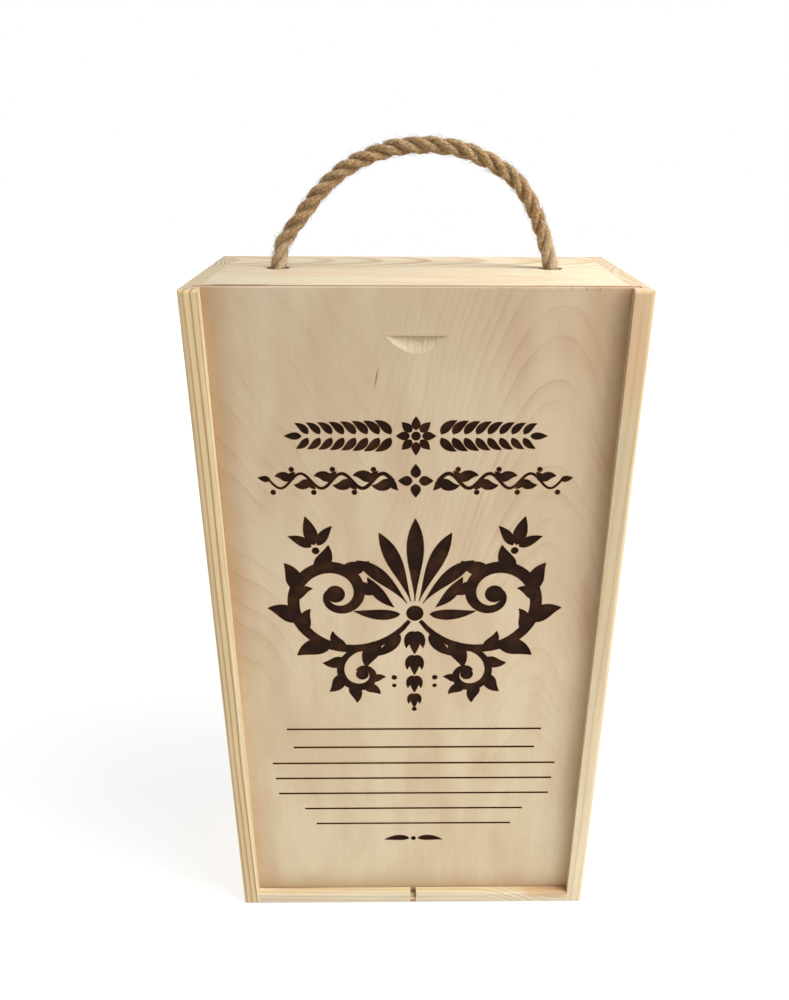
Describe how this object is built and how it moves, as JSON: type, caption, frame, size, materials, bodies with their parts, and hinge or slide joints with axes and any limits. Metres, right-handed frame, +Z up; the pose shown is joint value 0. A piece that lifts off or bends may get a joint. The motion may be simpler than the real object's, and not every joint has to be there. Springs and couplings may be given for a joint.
{
  "type": "wine box",
  "caption": "Upright wooden wine box with a plywood lid that slides up out of its grooves, a divider between the bottle bays and a rope handle that folds down.",
  "frame": {"origin": "middle of the underside that the box stands on", "axes": "+Z up, +X to the right as seen from the front, the lid faces -Y"},
  "size_m": [0.2, 0.108, 0.4062],
  "materials": {
    "pine_board": "sanded, unvarnished pine",
    "birch_plywood": "sanded, unvarnished birch plywood with a scorched decoration on the lid",
    "jute_rope": "three-strand natural jute rope",
    "brad_steel": "bright steel wire"
  },
  "bodies": {
    "box": {"left_side": "pine_board", "right_side": "pine_board", "top_board": "pine_board", "bottom_board": "pine_board", "back_panel": "birch_plywood", "divider": "birch_plywood", "left_rope_knot": "jute_rope", "right_rope_knot": "jute_rope", "top_left_brads": "brad_steel", "top_right_brads": "brad_steel", "bottom_left_brads": "brad_steel", "bottom_right_brads": "brad_steel", "back_left_brads": "brad_steel", "back_right_brads": "brad_steel", "back_top_brads": "brad_steel", "back_bottom_brads": "brad_steel"},
    "lid": {"sliding_lid": "birch_plywood"},
    "handle": {"handle_rope": "jute_rope"}
  },
  "joints": [
    {"name": "lid_slide", "type": "slide", "parent": "box", "child": "lid", "axis": [0, 0, 1], "range_m": [0, 0.346]},
    {"name": "handle_swing", "type": "hinge", "parent": "box", "child": "handle", "pos_m": [0, 0.009, 0.35405], "axis": [1, 0, 0], "range_deg": [-85, 85], "stiffness_Nm_per_rad": 0.02}
  ]
}
